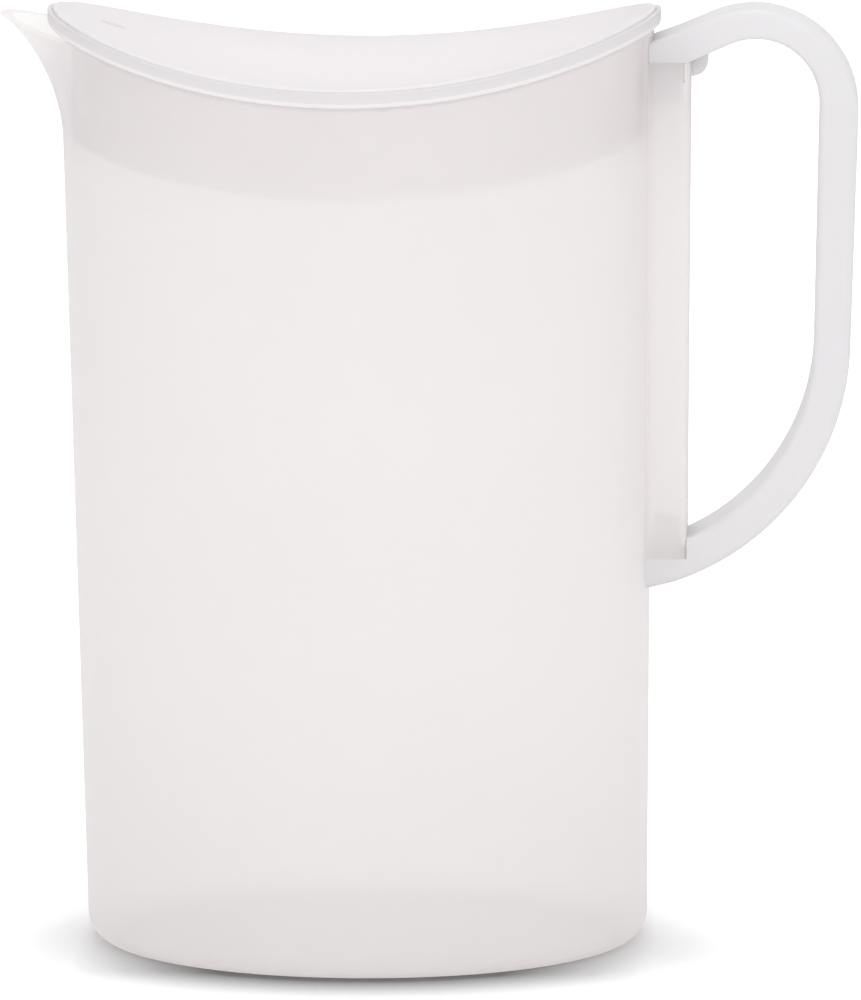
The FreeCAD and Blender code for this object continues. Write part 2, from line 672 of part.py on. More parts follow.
def make_lid():
    """Saddle-shaped cover: edge band, raised panel, deep skirt with pouring slots."""
    edge_disc = doc.addObject("Part::Cone", "edge_disc")
    bind(edge_disc, Radius1="lid_radius - lid_draft", Radius2="lid_radius")
    bind(edge_disc, Height="stock_top + wall - rim_low", Placement__Base__x="rim_centre")
    bind(edge_disc, Placement__Base__z="rim_low")
    band_low = "rim_low + lid_gap"
    band = saddle_plate("edge_band", edge_disc, "rim_curve - lid_edge", "rim_low + lid_edge",
                        "rim_curve - lid_gap", band_low)
    panel_top = "rim_curve - lid_edge - panel_step"
    panel = saddle_plate("panel", "lid_radius - panel_inset", panel_top, "rim_low + lid_edge + panel_step",
                         panel_top + " + panel_thickness",
                         "rim_low + lid_edge + panel_step - panel_thickness")

    # skirt: follows the inside of the jug's mouth, down to its own flatter arc
    foot = "skirt_low - wall"
    cones = []
    for name, offset in (("skirt_outer", "-wall - skirt_gap"), ("skirt_inner", "-wall - skirt_gap - skirt_wall")):
        cone = doc.addObject("Part::Cone", name)
        bind(cone, Radius1=radius_text(foot, offset), Radius2=radius_text("stock_top", offset))
        bind(cone, Height=f"stock_top - ({foot})", Placement__Base__z=foot)
        bind(cone, Placement__Base__x=centre_text("(skirt_low + rim_low) / 2"))
        cones.append(cone)
    bottom = across("skirt_floor", "skirt_curve", "skirt_low")
    inside_panel = across("skirt_ceiling", panel_top + " + panel_thickness / 2",
                          "rim_low + lid_edge + panel_step - panel_thickness / 2")
    plug = combine("Cut", "skirt_plug", combine("Common", "skirt_blank", cones[0], bottom), inside_panel)
    under_panel = across("room_ceiling", panel_top + " + panel_thickness",
                         "rim_low + lid_edge + panel_step - panel_thickness")
    room = combine("Cut", "skirt_room", cones[1], under_panel)
    whole = combine("Cut", "lid_blank", fuse("lid_solid", [band, panel, plug]), room)

    # pouring slots through the skirt towards the spout
    slots = []
    count = int(size("pour_slot_count"))
    for index in range(count):
        turn = (index - (count - 1) / 2) * size("pour_slot_pitch_degrees")
        slot = doc.addObject("Part::Box", f"pour_slot_{index + 1}")
        bind(slot, Length="lid_radius", Width="pour_slot_width", Height="pour_slot_height")
        spin = math.radians(180 + turn)
        slot.Placement.Rotation = FreeCAD.Rotation(UP, 180 + turn)
        inner = "(lid_radius / 2)"
        shift = "(pour_slot_width / 2)"
        x = f"rim_centre + {inner} * {math.cos(spin):.9f} + {shift} * {math.sin(spin):.9f}"
        y = f"{inner} * {math.sin(spin):.9f} - {shift} * {math.cos(spin):.9f}"
        bind(slot, Placement__Base__x=x, Placement__Base__y=y, Placement__Base__z="pour_slot_low")
        slots.append(slot)
    slotted = combine("Cut", "lid_slotted", whole, fuse("pour_slots", slots))

    # round blind vent mark in the panel, at the spout end
    vent = upright("vent", "vent_radius", "rim_low", "stock_top", centre="vent_x")
    floor_arc = across("vent_floor", f"{panel_top} + vent_depth", "rim_low + lid_edge + panel_step - vent_depth")
    recess = combine("Common", "vent_recess", vent, floor_arc)
    lid = combine("Cut", "lid", slotted, recess)
    lid.Label = "lid"
    return lid


def main():
    parts = [make_jug(), make_handle(), make_lid()]
    doc.recompute()
    for item in doc.Objects:
        if "Invalid" in item.State or "Error" in item.State:
            raise RuntimeError(f"{item.Name} failed: {item.State}")
    os.makedirs("parts", exist_ok=True)
    for part in parts:
        shape = part.Shape
        if shape.isNull() or not shape.isValid():
            raise RuntimeError(f"{part.Label} has no sound shape")
        shape.exportStep(f"parts/{part.Label}.step")
        box = shape.BoundBox
        print(part.Label, "solids", len(shape.Solids), "volume", round(shape.Volume, 1),
              "box", [round(v, 2) for v in (box.XMin, box.YMin, box.ZMin, box.XMax, box.YMax, box.ZMax)])


main()
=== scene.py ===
# %% [markdown]
# A baby formula pitcher, dressed for its picture
# The real pitcher is three mouldings in natural polypropylene: a leaning round jug with a broad spout,
# a C-shaped grip that clips to a hollow spine on the jug's back, and a saddle-shaped lid with a deep skirt.
# Each is drawn here as a surface worked out with numpy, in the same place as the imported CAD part, so that
# the moving bodies of the CAD carry the good-looking pieces with them.

import bpy
import numpy as np
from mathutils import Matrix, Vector


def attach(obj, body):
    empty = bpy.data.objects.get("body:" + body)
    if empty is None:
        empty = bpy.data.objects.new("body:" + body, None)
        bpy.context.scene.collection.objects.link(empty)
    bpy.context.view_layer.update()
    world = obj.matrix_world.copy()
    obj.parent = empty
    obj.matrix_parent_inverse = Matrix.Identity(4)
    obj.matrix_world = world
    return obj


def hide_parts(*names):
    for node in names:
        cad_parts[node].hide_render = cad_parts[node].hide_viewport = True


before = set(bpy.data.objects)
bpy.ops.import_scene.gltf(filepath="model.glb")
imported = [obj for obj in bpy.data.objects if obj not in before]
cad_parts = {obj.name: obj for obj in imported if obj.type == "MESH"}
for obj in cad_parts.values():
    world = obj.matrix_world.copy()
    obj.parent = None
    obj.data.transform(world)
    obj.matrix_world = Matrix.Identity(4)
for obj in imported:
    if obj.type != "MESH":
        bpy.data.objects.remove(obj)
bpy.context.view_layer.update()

MM = 0.001


# %% [markdown]
# How a surface gets into Blender
# A round moulding could be turned with a Screw modifier, but the spout and the saddle make this one only
# nearly round. So each surface is a grid of points: rows follow the profile, columns go round the axis. The
# whole grid is worked out at once, and two short helpers turn it into faces: quads between neighbouring
# rows, and a fan of triangles where a grid closes on one point.

# %% Faces of a grid


def cells(rows, columns, first=0, around=True):
    """Corner numbers of the cells of a grid whose vertex (i, j) is number first + i * columns + j."""
    i, j = np.meshgrid(np.arange(rows - 1), np.arange(columns if around else columns - 1), indexing="ij")
    k = (j + 1) % columns
    corners = [i * columns + j, i * columns + k, (i + 1) * columns + k, (i + 1) * columns + j]
    return first + np.stack(corners, axis=-1)


def fan(ring, tip):
    """Triangles from each edge of a closed ring of vertices to the vertex at its tip."""
    return np.stack([ring, np.roll(ring, -1), np.full(len(ring), tip)], axis=-1)


def strip(outer, inner):
    """Quads between two closed rings with as many vertices each."""
    return np.stack([outer, np.roll(outer, -1), np.roll(inner, -1), inner], axis=-1)


def volume(points, triangles):
    """Signed volume of a closed mesh: the sum of a . (b x c) / 6 over its triangles."""
    a, b, c = (points[triangles[:, n]] for n in range(3))
    return float(np.einsum("ij,ij->i", a, np.cross(b, c)).sum() / 6)


# %% One piece from its points and faces


def add_piece(name, points, quads, triangles, body, finish, finish_slot):
    """A smooth closed mesh in millimetres that rides on a body; faces are turned outwards by its volume."""
    points = np.asarray(points, float)
    quads = np.asarray(quads, int).reshape(-1, 4)
    triangles = np.asarray(triangles, int).reshape(-1, 3)
    used, numbers = np.unique(np.concatenate([quads.ravel(), triangles.ravel()]), return_inverse=True)
    points = points[used]
    quads, triangles = numbers[:quads.size].reshape(-1, 4), numbers[quads.size:].reshape(-1, 3)
    cm3 = volume(points, np.concatenate([quads[:, :3], quads[:, [0, 2, 3]], triangles])) / 1000
    if cm3 < 0:
        quads, triangles = quads[:, ::-1], triangles[:, ::-1]
    mesh = bpy.data.meshes.new(name)
    mesh.from_pydata((points * MM).tolist(), [], quads.tolist() + triangles.tolist())
    mesh.polygons.foreach_set("use_smooth", np.ones(len(mesh.polygons), bool))
    mesh.set_sharp_from_angle(angle=np.radians(38))
    mesh.materials.append(finish)
    piece = bpy.data.objects.new(name, mesh)
    bpy.context.scene.collection.objects.link(piece)
    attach(piece, body)
    print(f"{name}: {len(points)} points, {abs(cm3):.1f} cm3")
    return piece


# %% [markdown]
# Natural polypropylene
# The plastic has no pigment. A thin wall sends back most of the light, lets part of it through and blurs
# what is behind it, so the lid's skirt shows as a soft grey band through the jug. Subsurface scattering
# could do this, but in a wall under 2 mm it is noisy and slow. A Translucent shader mixed with the glossy
# plastic gives the same milky light for little time, and a small share of Transparent lets shapes through.

# %% Colours and a node helper


def linear(code):
    """Linear colour of an sRGB hex code: c / 12.92 up to 0.04045, else ((c + 0.055) / 1.055) ** 2.4."""
    c = np.array([int(code[n:n + 2], 16) for n in (1, 3, 5)]) / 255
    c = np.where(c <= 0.04045, c / 12.92, ((c + 0.055) / 1.055) ** 2.4)
    return (*c.tolist(), 1.0)


def add_node(tree, kind, settings=None, **values):
    """A node with its settings and input values. A value that is an output socket is linked. A key such
    as _2 stands for the input of that number, because some nodes give several inputs one name."""
    node = tree.nodes.new(kind)
    for key, value in (settings or {}).items():
        setattr(node, key, value)
    for key, value in values.items():
        entry = node.inputs[int(key[1:]) if key[1:].isdigit() else key.replace("_", " ")]
        if isinstance(value, bpy.types.NodeSocket):
            tree.links.new(value, entry)
        else:
            entry.default_value = value
    return node


# %% The moulded plastic


def polypropylene(name, body, shade, through, clear, roughness, grain):
    """Moulded natural polypropylene: body and shade are its colours where the plastic is clean and where it
    is cloudy, through the share of light that passes, clear the share that passes unbent, and grain the
    height in millimetres of the mould's fine texture."""
    finish = bpy.data.materials.new(name)
    finish.use_nodes = True
    tree = finish.node_tree
    tree.nodes.clear()
    place = add_node(tree, "ShaderNodeTexCoord").outputs["Object"]
    # clouds 45 mm wide: slow changes of tint, as in a real unpigmented moulding
    cloud = add_node(tree, "ShaderNodeTexNoise", Vector=place, Scale=1 / 0.045, Detail=2.0, Roughness=0.45)
    tint = add_node(tree, "ShaderNodeMix", {"data_type": "RGBA"}, _0=cloud.outputs["Fac"],
                    _6=linear(body), _7=linear(shade))
    # satin: the roughness wanders a little over 12 mm, so that the gloss isn't even
    wear = add_node(tree, "ShaderNodeTexNoise", Vector=place, Scale=1 / 0.012, Detail=3.0)
    satin = add_node(tree, "ShaderNodeMapRange", Value=wear.outputs["Fac"], To_Min=roughness - 0.05,
                     To_Max=roughness + 0.07)
    # grain 0.7 mm wide, left by the blasted mould
    grains = add_node(tree, "ShaderNodeTexNoise", Vector=place, Scale=1 / 0.0007, Detail=1.0)
    bump = add_node(tree, "ShaderNodeBump", Height=grains.outputs["Fac"], Strength=0.35,
                    Distance=grain * MM)
    plastic = add_node(tree, "ShaderNodeBsdfPrincipled", Base_Color=tint.outputs[2],
                       Roughness=satin.outputs["Result"], IOR=1.49, Normal=bump.outputs["Normal"])
    milk = add_node(tree, "ShaderNodeBsdfTranslucent", Color=tint.outputs[2], Normal=bump.outputs["Normal"])
    milky = add_node(tree, "ShaderNodeMixShader", _0=through, _1=plastic.outputs[0], _2=milk.outputs[0])
    shown = milky.outputs[0]
    if clear:
        unbent = add_node(tree, "ShaderNodeBsdfTransparent")
        shown = add_node(tree, "ShaderNodeMixShader", _0=clear, _1=shown, _2=unbent.outputs[0]).outputs[0]
    add_node(tree, "ShaderNodeOutputMaterial", Surface=shown)
    return finish


# %% The finishes, one for each kind of wall
# the wall's outside does the scattering; its inner skin is nearly clear, so that a wall counts once
wall_finish = polypropylene("natural polypropylene, moulded", "#FBF8F8", "#F8F5F5", 0.50, 0.20, 0.36, 0.02)
skin_finish = polypropylene("polypropylene, inner skin", "#FBF8F8", "#F8F5F5", 0.50, 0.84, 0.36, 0.02)
grip_finish = polypropylene("thick polypropylene, satin", "#F4F3F4", "#F1F0F1", 0.40, 0.0, 0.34, 0.02)
lid_finish = polypropylene("lid polypropylene, moulded", "#FBF9FA", "#F8F6F7", 0.48, 0.0, 0.33, 0.02)
# painted shade: the lid's edge band and the wall of its vent mark get a greyer colour that stands in for
# the shade on them
painted_shade_lid_finish = polypropylene("lid polypropylene, painted shade", "#F1EFF0", "#EDEBEC", 0.45, 0.0, 0.33, 0.02)
print("finishes:", [m.name for m in (wall_finish, skin_finish, grip_finish, lid_finish, painted_shade_lid_finish)])


# %% A second finish on some faces


def second_finish(piece, finish, marked):
    """Gives the marked faces of a piece a finish of their own."""
    piece.data.materials.append(finish)
    piece.data.polygons.foreach_set("material_index", np.asarray(marked, int))


# %% [markdown]
# The shape of the jug
# The jug is a cone that widens by 3.3 mm in radius on its way up and leans 2.2 mm towards the spout. Near
# the top a second, smaller circle moves out of it, and a straight line joins the two circles on each side:
# that is the broad spout. The rim is the saddle that a cylinder lying across the jug would cut, and runs on
# straight up the spout. All later pieces are measured from these four rules.

# %% Rules for the wall and the rim
WALL = 1.8
BASE_RADIUS, WIDENING, LEANING, WALL_HEIGHT = 60.2, 3.3, -2.2, 190
SADDLE_HEIGHT = 362.55
SADDLE_AXIS = -2.8
RIM_SADDLE = 177.3


def wall_radius(z):
    """R(z) = 60.2 + 3.3 z / 190, all in mm."""
    return BASE_RADIUS + WIDENING * z / WALL_HEIGHT


def lean(z):
    """Where the jug's axis is at height z: -2.2 z / 190."""
    return LEANING * z / WALL_HEIGHT


def saddle(x, radius):
    """Height of a cylinder that lies across the jug: 362.55 - sqrt(radius^2 - (x + 2.8)^2)."""
    return SADDLE_HEIGHT - np.sqrt(radius ** 2 - (x - SADDLE_AXIS) ** 2)


def rim_height(x):
    """The rim: a saddle of radius 177.3, and beyond x = -54.8 its tangent, which rises 52 in 169.5."""
    return saddle(np.maximum(x, -54.8), RIM_SADDLE) + 52 / 169.5 * np.maximum(-54.8 - x, 0)


# %% The wall with its spout
SPOUT_LOW, SPOUT_RADIUS, SPOUT_SWEEP = 172, 35, 38


def wall_reach(turn, z, inwards=0.0):
    """Distance from the axis to the wall in the direction turn, measured from the spout's middle.

    From z = 172 up a circle of radius 35 comes out by e = 38 - sqrt(38^2 - (z - 172)^2), which puts its
    centre d = R + e - 35 from the axis. Both circles share a tangent whose normal is at acos((R - 35) / d).
    The reach is R behind that line, R / cos on it, and d cos + sqrt(35^2 - d^2 sin^2) on the small one."""
    big = wall_radius(z) - inwards
    small = SPOUT_RADIUS - inwards
    rise = np.clip(z - SPOUT_LOW, 0, 34)
    out = SPOUT_SWEEP - np.sqrt(SPOUT_SWEEP ** 2 - rise ** 2)
    d = wall_radius(z) + out - SPOUT_RADIUS
    normal = np.arccos(np.clip((wall_radius(z) - SPOUT_RADIUS) / d, -1, 1))
    turn = np.abs(turn)
    tip_end = np.arctan2(small * np.sin(normal), d + small * np.cos(normal))
    on_line = big / np.maximum(np.cos(normal - turn), 0.2)
    on_tip = d * np.cos(turn) + np.sqrt(np.maximum(small ** 2 - (d * np.sin(turn)) ** 2, 0))
    return np.where(turn > normal, big, np.where(turn > tip_end, on_line, on_tip))


def jug_point(turn, z, reach):
    """Point of the jug at height z, reach mm from its axis."""
    return np.stack(np.broadcast_arrays(lean(z) - reach * np.cos(turn), -reach * np.sin(turn), z), axis=-1)


# %% [markdown]
# The jug's shell
# One closed surface: out along the underside, round the base corner, up the outside, over the rounded lip,
# down the inside and back across the floor. The rim height depends on where the wall is, and the wall on
# the height, so the rim is found by a few rounds of putting one into the other.

# %% Rows of the shell
turns = np.radians(np.arange(-180, 180, 1.0))
rim_z = np.full(turns.shape, 190.0)
for _ in range(25):
    rim_z = rim_height(lean(rim_z) - wall_reach(turns, rim_z) * np.cos(turns))
print("rim from", rim_z.min().round(2), "to", rim_z.max().round(2), "mm")

# %% Underside, base corner and floor
CORNER_AXIS, CORNER_OUT, CORNER_IN = 54.2, 6, 4.2
RECESS, FLOOR_TOP, LIP = 0.6, 2.4, 0.8
quarter = np.linspace(0, np.pi / 2, 9)
foot_reach = np.concatenate([np.linspace(3, 49, 13), [50, 51, 52, 53.4],
                             CORNER_AXIS + CORNER_OUT * np.sin(quarter)])
foot_z = np.concatenate([np.full(13, RECESS), [0.5, 0.25, 0.05, 0.0],
                         CORNER_OUT - CORNER_OUT * np.cos(quarter)])
foot_reach = foot_reach + (wall_radius(foot_z) - wall_radius(0)) * (foot_reach > 54)
floor_reach = np.concatenate([CORNER_AXIS + CORNER_IN * np.sin(quarter[::-1]), np.linspace(52, 3, 12)])
floor_z = np.concatenate([FLOOR_TOP + CORNER_IN - CORNER_IN * np.cos(quarter[::-1]),
                          np.full(12, FLOOR_TOP)])
floor_reach = floor_reach + (wall_radius(floor_z) - wall_radius(0)) * (floor_reach > 53)
print("floor", round(FLOOR_TOP - RECESS, 1), "mm thick, corner rounded by", CORNER_OUT, "mm")

# %% Wall and lip
OUT_ROWS, IN_ROWS = 64, 56


def wall_rows(low, count, inwards):
    """Rows from height low to the lip, closer together near the lip."""
    share = 1 - (1 - np.linspace(0, 1, count)[:, None]) ** 1.5
    z = low + (rim_z - LIP - low) * share
    return jug_point(turns, z, wall_reach(turns, z, inwards))


lip = np.linspace(0, np.pi, 9)[1:-1, None]
lip_z = rim_z - LIP + LIP * np.sin(lip)
lip_share = (1 - np.cos(lip)) / 2
lip_reach = wall_reach(turns, rim_z) * (1 - lip_share) + wall_reach(turns, rim_z, WALL) * lip_share
shell_rows = np.concatenate([
    jug_point(turns, foot_z[:, None], foot_reach[:, None]),
    wall_rows(6.4, OUT_ROWS, 0.0),
    jug_point(turns, lip_z, lip_reach),
    wall_rows(7.0, IN_ROWS, WALL)[::-1],
    jug_point(turns, floor_z[:, None], floor_reach[:, None]),
])

# %% The shell as a mesh
rows, columns = shell_rows.shape[:2]
shell_points = np.concatenate([shell_rows.reshape(-1, 3), [[0, 0, RECESS]], [[0, 0, FLOOR_TOP]]])
first_ring, last_ring = np.arange(columns), (rows - 1) * columns + np.arange(columns)
shell_fans = np.concatenate([fan(first_ring[::-1], rows * columns), fan(last_ring, rows * columns + 1)])
jug_shell = add_piece("jug_shell", shell_points, cells(rows, columns), shell_fans, "jug", wall_finish,
                      "jug_plastic")
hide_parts("jug_body")
inner_rows = np.arange(rows - 1) >= len(foot_z) + OUT_ROWS + len(lip)
inner_fan = np.arange(2 * columns) >= columns
second_finish(jug_shell, skin_finish, np.concatenate([np.repeat(inner_rows, columns), inner_fan]))

# %% [markdown]
# The hollow spine
# A hollow rail stands on the jug's wall beside the grip and takes its plug and tongue. It is a U in plan,
# carried from the bottom to the top. Near the top each side wall has a short slot that lets the outer face
# give when the grip is pressed in. The U is cut there into three stubs, so the slots are real gaps. An
# extruded outline would do for a straight rail, but this one follows the leaning wall.

# %% A rail from the two sides of a U
SPINE_LOW, SPINE_HIGH = 84.0, 190.4
RAIL_DEPTH, RAIL_HALF, ROOM_HALF, SLOT_DEPTH = 8, 11.5, 9.9, 4.2


def spine_face(z):
    """The rail's outer face stands 8 mm off the wall: lean + R + 8."""
    return lean(z) + wall_radius(z) + RAIL_DEPTH


bend = np.linspace(0, np.pi / 2, 7)
side_x = np.linspace(-RAIL_DEPTH - 1.3, -1.7, 8)
outer_half = np.concatenate([
    np.stack([side_x, np.full(8, RAIL_HALF)], axis=-1),
    np.stack([-1.2 + 1.2 * np.sin(bend), 10.3 + 1.2 * np.cos(bend)], axis=-1),
    np.stack([np.zeros(5), np.linspace(ROOM_HALF, 0, 5)], axis=-1)])
inner_half = np.concatenate([
    np.stack([side_x, np.full(8, ROOM_HALF)], axis=-1),
    np.stack([np.full(12, -1.6), np.linspace(9.8, 0, 12)], axis=-1)])
flip = np.array([1, -1])
outer_plan = np.concatenate([outer_half, outer_half[-2::-1] * flip])
inner_plan = np.concatenate([inner_half, inner_half[-2::-1] * flip])
slot_low = SPINE_HIGH - SLOT_DEPTH
heights = np.concatenate([np.linspace(SPINE_LOW, slot_low, 24), [slot_low + 2.1, SPINE_HIGH]])

# %% The rail's grid, its two slots and its ends
plan = np.concatenate([outer_plan, inner_plan[::-1]])
side_count, loop_count = len(outer_plan), len(plan)
rail_points = np.stack(np.broadcast_arrays(spine_face(heights[:, None]) + plan[:, 0], plan[:, 1],
                                           heights[:, None]), axis=-1)
rail_cells = cells(len(heights), loop_count)
rail_keep = np.ones(rail_cells.shape[:2], bool)
k = np.arange(side_count - 1)
end_cap = np.stack([k, k + 1, loop_count - 2 - k, loop_count - 1 - k], axis=-1)
top_cap = end_cap + (len(heights) - 1) * loop_count
slot_first = len(heights) - 3
notch_rows = slot_first + np.array([2, 1, 0, 0, 1, 2])
notch_sides = np.array([0, 0, 0, 1, 1, 1])
# the slot takes the column between x = -1.7 and -1.2 on each side wall
slot_columns = [7, side_count - 9]
notch_faces = []
for side_column in slot_columns:
    outer_line = notch_rows * loop_count + side_column + notch_sides
    inner_line = notch_rows * loop_count + loop_count - 1 - side_column - notch_sides
    edges = [outer_line[:-1], outer_line[1:], inner_line[1:], inner_line[:-1]]
    notch_faces.append(np.stack(edges, axis=-1))
    rail_keep[slot_first:, [side_column, loop_count - 2 - side_column]] = False
rail_inside = np.broadcast_to(np.arange(loop_count) >= side_count, rail_keep.shape)[rail_keep]
top_kept = np.delete(top_cap, slot_columns, axis=0)
rail_quads = np.concatenate([rail_cells[rail_keep], end_cap[:, ::-1], top_kept, *notch_faces])
jug_spine = add_piece("jug_spine", rail_points.reshape(-1, 3), rail_quads, [], "jug", wall_finish,
                      "jug_plastic")
rail_inside = np.concatenate([rail_inside, np.zeros(len(rail_quads) - len(rail_inside), bool)])
second_finish(jug_spine, skin_finish, rail_inside)

# %% [markdown]
# The grip
# The grip is a bar of even width bent into a C. In side view its outer and inner edges are each two arcs
# and the straight line that touches both, so the bar swells gently at the shoulder. The radius of a
# bevelled curve would widen the bar across as well. Instead both edges are followed at once, and a
# rectangle with rounded corners is stretched between them at every step.

# %% The two edges of the C


def arc(centre, radius, start, end, count):
    """Points centre + radius (cos a, sin a) with a from start to end, in degrees."""
    a = np.radians(np.linspace(start, end, count))
    return np.stack([centre[0] + radius * np.cos(a), centre[1] + radius * np.sin(a)], axis=-1)


def line(a, b, count):
    """Points a + (b - a) t."""
    t = np.linspace(0, 1, count)[:, None]
    return np.asarray(a) * (1 - t) + np.asarray(b) * t


def touching(first, first_radius, second, second_radius):
    """Direction in degrees of the normal of the line that touches both circles on the right:
    the angle of first - second, less acos((second_radius - first_radius) / distance)."""
    gap = np.subtract(first, second)
    turn = np.arctan2(gap[1], gap[0]) - np.arccos((second_radius - first_radius) / np.hypot(*gap))
    return np.degrees(turn)


# centre and radius of each arc: the shoulder's and the bow's, on the outer and the inner edge
SHOULDER, BOW = ((82.7, 179.4), 22.4), ((48.7, 131.0), 54.9)
SHOULDER_INSIDE, BOW_INSIDE = ((83.2, 182.0), 13.5), ((48.5, 131.0), 47.2)
ARM_TILT, ROOT_GAP = 22.8, 0.25
ARM = 90 + ARM_TILT
outer_turn = touching(*SHOULDER, *BOW)
inner_turn = touching(*SHOULDER_INSIDE, *BOW_INSIDE)
seat_x, seat_z = spine_face(SPINE_LOW) + 0.03, 83.95
seat_turn = -np.degrees(np.arccos((seat_x - BOW_INSIDE[0][0]) / BOW_INSIDE[1]))
top_root = lean(192) + wall_radius(192) + ROOT_GAP
low_root = lean(80) + wall_radius(80) + ROOT_GAP
low_turn = -np.degrees(np.arccos((low_root - BOW[0][0]) / BOW[1]))
slope = np.tan(np.radians(ARM_TILT))
print("arcs meet their line at", round(float(outer_turn), 1), "and", round(float(inner_turn), 1), "degrees")

# %% Both edges, point by point
outer_arm = arc(*SHOULDER, ARM, ARM, 1)[0]
inner_arm = arc(*SHOULDER_INSIDE, ARM, ARM, 1)[0]
arm_start = outer_arm - [outer_arm[0] - top_root, (outer_arm[0] - top_root) * slope]
meets_seat = np.array([inner_arm[0] - (inner_arm[1] - SPINE_HIGH) / slope, SPINE_HIGH])
above_seat = outer_arm - np.array([1, slope]) * (outer_arm[0] - meets_seat[0] + 1.5)
outer_edge = np.concatenate([
    line(arm_start, above_seat, 5),
    line(above_seat, outer_arm, 6)[1:],
    arc(*SHOULDER, ARM, outer_turn, 26)[1:],
    line(arc(*SHOULDER, outer_turn, outer_turn, 1)[0], arc(*BOW, outer_turn, outer_turn, 1)[0], 14)[1:],
    arc(*BOW, outer_turn, seat_turn - 1.5, 34)[1:],
    arc(*BOW, seat_turn - 1.5, seat_turn - 5.0, 4)[1:],
    arc(*BOW, seat_turn - 5.0, low_turn, 6)[1:]])
seat_corner = np.array([seat_x, seat_z])
inner_edge = np.concatenate([
    line([top_root, SPINE_HIGH], meets_seat, 5),
    line(meets_seat, inner_arm, 6)[1:],
    arc(*SHOULDER_INSIDE, ARM, inner_turn, 26)[1:],
    line(arc(*SHOULDER_INSIDE, inner_turn, inner_turn, 1)[0],
         arc(*BOW_INSIDE, inner_turn, inner_turn, 1)[0], 14)[1:],
    arc(*BOW_INSIDE, inner_turn, seat_turn, 34)[1:],
    line(arc(*BOW_INSIDE, seat_turn, seat_turn, 1)[0], seat_corner, 4)[1:],
    line(seat_corner, [low_root, seat_z], 6)[1:]])
print("grip edges:", len(outer_edge), "steps, thickness",
      np.hypot(*(outer_edge - inner_edge).T).round(1)[[0, 20, 40, 60, -1]].tolist(), "mm")

# %% A rounded rectangle
HALF_WIDTH, ROUND = RAIL_HALF, 1.4
corner = np.linspace(0, np.pi / 2, 7)
flat = np.array([0.9, 0.5, 0, -0.5, -0.9])


def column(share, out_part, in_part, y_flat, y_round):
    """Columns of the section: how far across, roundings from the outer and inner edge, and y."""
    return np.stack(np.broadcast_arrays(share, out_part, in_part, y_flat, y_round), axis=-1).astype(float)


out_corner = column(1, np.sin(corner) - 1, 0, 1, np.cos(corner))
in_corner = column(0, 0, 1 - np.cos(corner), 1, np.sin(corner))
outer_face = column(1, 0, 0, flat, 0)
inner_face = column(0, 0, 0, -flat, 0)
side_share = np.array([0.06, 0.5, 0.94])
side_face = column(side_share, -side_share, 1 - side_share, 1, 1)
mirror = np.array([1, 1, 1, -1, -1])
section = np.concatenate([out_corner, outer_face, (out_corner * mirror)[::-1], (side_face * mirror)[::-1],
                          (in_corner * mirror)[::-1], inner_face, in_corner, side_face])
print("section of", len(section), "points")

# %% The rectangle stretched between the edges
steps = len(outer_edge)
# the inner edges are rounded by 1.4 mm, but stay sharp where the bar sits on the spine
seated = np.interp(np.arange(steps), [0, 4, 9, steps - 12, steps - 8, steps - 1], [0, 0, 1, 1, 0, 0])
inner_round = (0.2 + (ROUND - 0.2) * seated)[:, None]
is_inner = section[:, 0] < 0.5
gap = outer_edge - inner_edge
thick = np.hypot(gap[:, 0], gap[:, 1])[:, None]
reach = section[:, 0] + (ROUND * section[:, 1] + inner_round * section[:, 2]) / thick
along = inner_edge[:, None, :] + gap[:, None, :] * reach[..., None]
rounding = np.where(is_inner, inner_round, ROUND)
grip_y = section[:, 3] * (HALF_WIDTH - rounding) + section[:, 4] * rounding
# at both ends the bar follows the round wall: x shrinks by R - sqrt(R^2 - y^2)
near_wall = np.concatenate([np.linspace(1, 0, 5), np.zeros(steps - 10), np.linspace(0, 1, 5)])[:, None]
sag = 62.5 - np.sqrt(62.5 ** 2 - grip_y ** 2)
grip_rows = np.stack([along[..., 0] - near_wall * sag, grip_y, along[..., 1]], axis=-1)

# %% The grip as a mesh
count = len(section)
middle = grip_rows[[0, -1]].mean(axis=1)
grip_points = np.concatenate([grip_rows.reshape(-1, 3), middle])
grip_fans = np.concatenate([fan(np.arange(count)[::-1], steps * count),
                            fan((steps - 1) * count + np.arange(count), steps * count + 1)])
grip = add_piece("grip", grip_points, cells(steps, count), grip_fans, "jug", grip_finish, "handle_plastic")
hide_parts("handle")

# %% [markdown]
# What holds the grip
# Under its upper arm the grip has a plug that fits down the spine, a small rounded tab that hooks over the
# spine's face, and at its lower end a tongue that goes up inside. They are blocks with softened edges:
# an outline in side view, drawn in a little at both ends of its width.

# %% Blocks across the pitcher


def block(outline, half_width, soft):
    """A side-view outline carried across from -half_width to half_width, with edges softened by soft mm."""
    outline = np.asarray(outline, float)
    inner = outline.mean(axis=0)
    across = half_width - soft + soft * np.sin(corner)
    across = np.concatenate([-across[::-1], [0.0], across])
    drawn_in = soft * (1 - np.cos(corner))
    drawn_in = np.concatenate([drawn_in[::-1], [0.0], drawn_in])
    reach = outline - inner
    scale = 1 - drawn_in[:, None] / np.hypot(reach[:, 0], reach[:, 1])
    xz = inner + reach * scale[..., None]
    y = np.broadcast_to(across[:, None], xz.shape[:2])
    points = np.stack([xz[..., 0], y, xz[..., 1]], axis=-1).reshape(-1, 3)
    n, m = len(across), len(outline)
    ends = np.concatenate([fan(np.arange(m)[::-1], n * m), fan((n - 1) * m + np.arange(m), n * m + 1)])
    points = np.concatenate([points, [[inner[0], across[0], inner[1]], [inner[0], across[-1], inner[1]]]])
    return points, cells(n, m).reshape(-1, 4), ends


